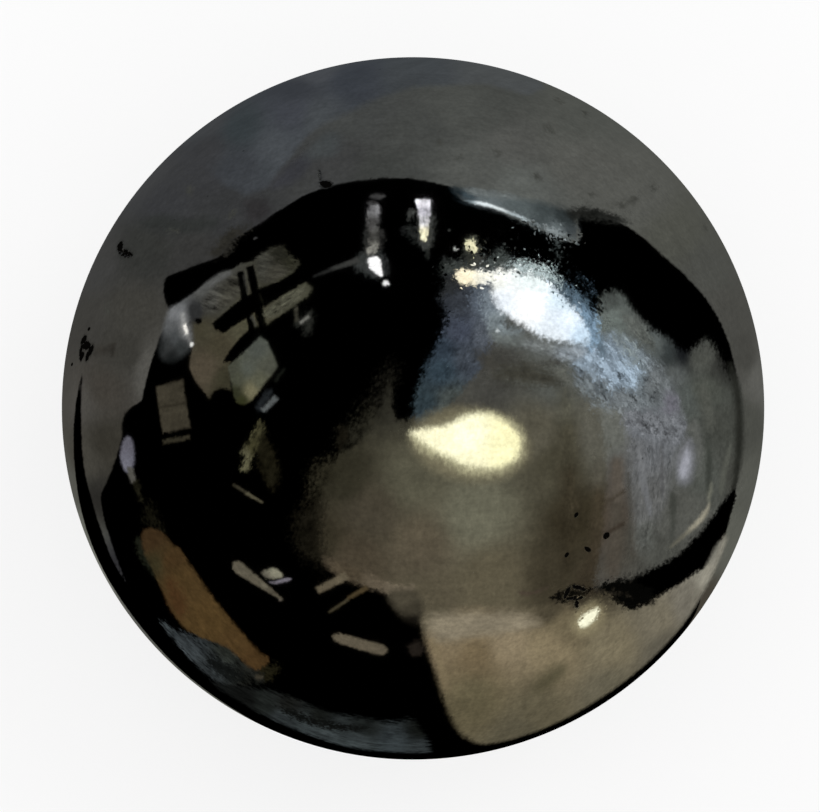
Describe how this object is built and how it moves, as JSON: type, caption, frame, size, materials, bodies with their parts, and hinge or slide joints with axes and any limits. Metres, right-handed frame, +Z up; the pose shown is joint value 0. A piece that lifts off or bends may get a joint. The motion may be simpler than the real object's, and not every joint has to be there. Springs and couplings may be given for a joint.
{
  "type": "steel ball",
  "caption": "Solid polished steel ball with a mirror finish, lightly pitted and scuffed by use.",
  "frame": {"origin": "centre of the ball", "axes": "+Z up from the point it is set down on; the gouged side faces -X and the scuffed side faces +X and -Y"},
  "size_m": [0.0508, 0.0508, 0.0508],
  "materials": {
    "polished_steel": "mirror-polished bearing steel, fine pitting and a wiped haze on one side"
  },
  "bodies": {
    "root": {"steel_ball": "polished_steel"}
  },
  "joints": []
}
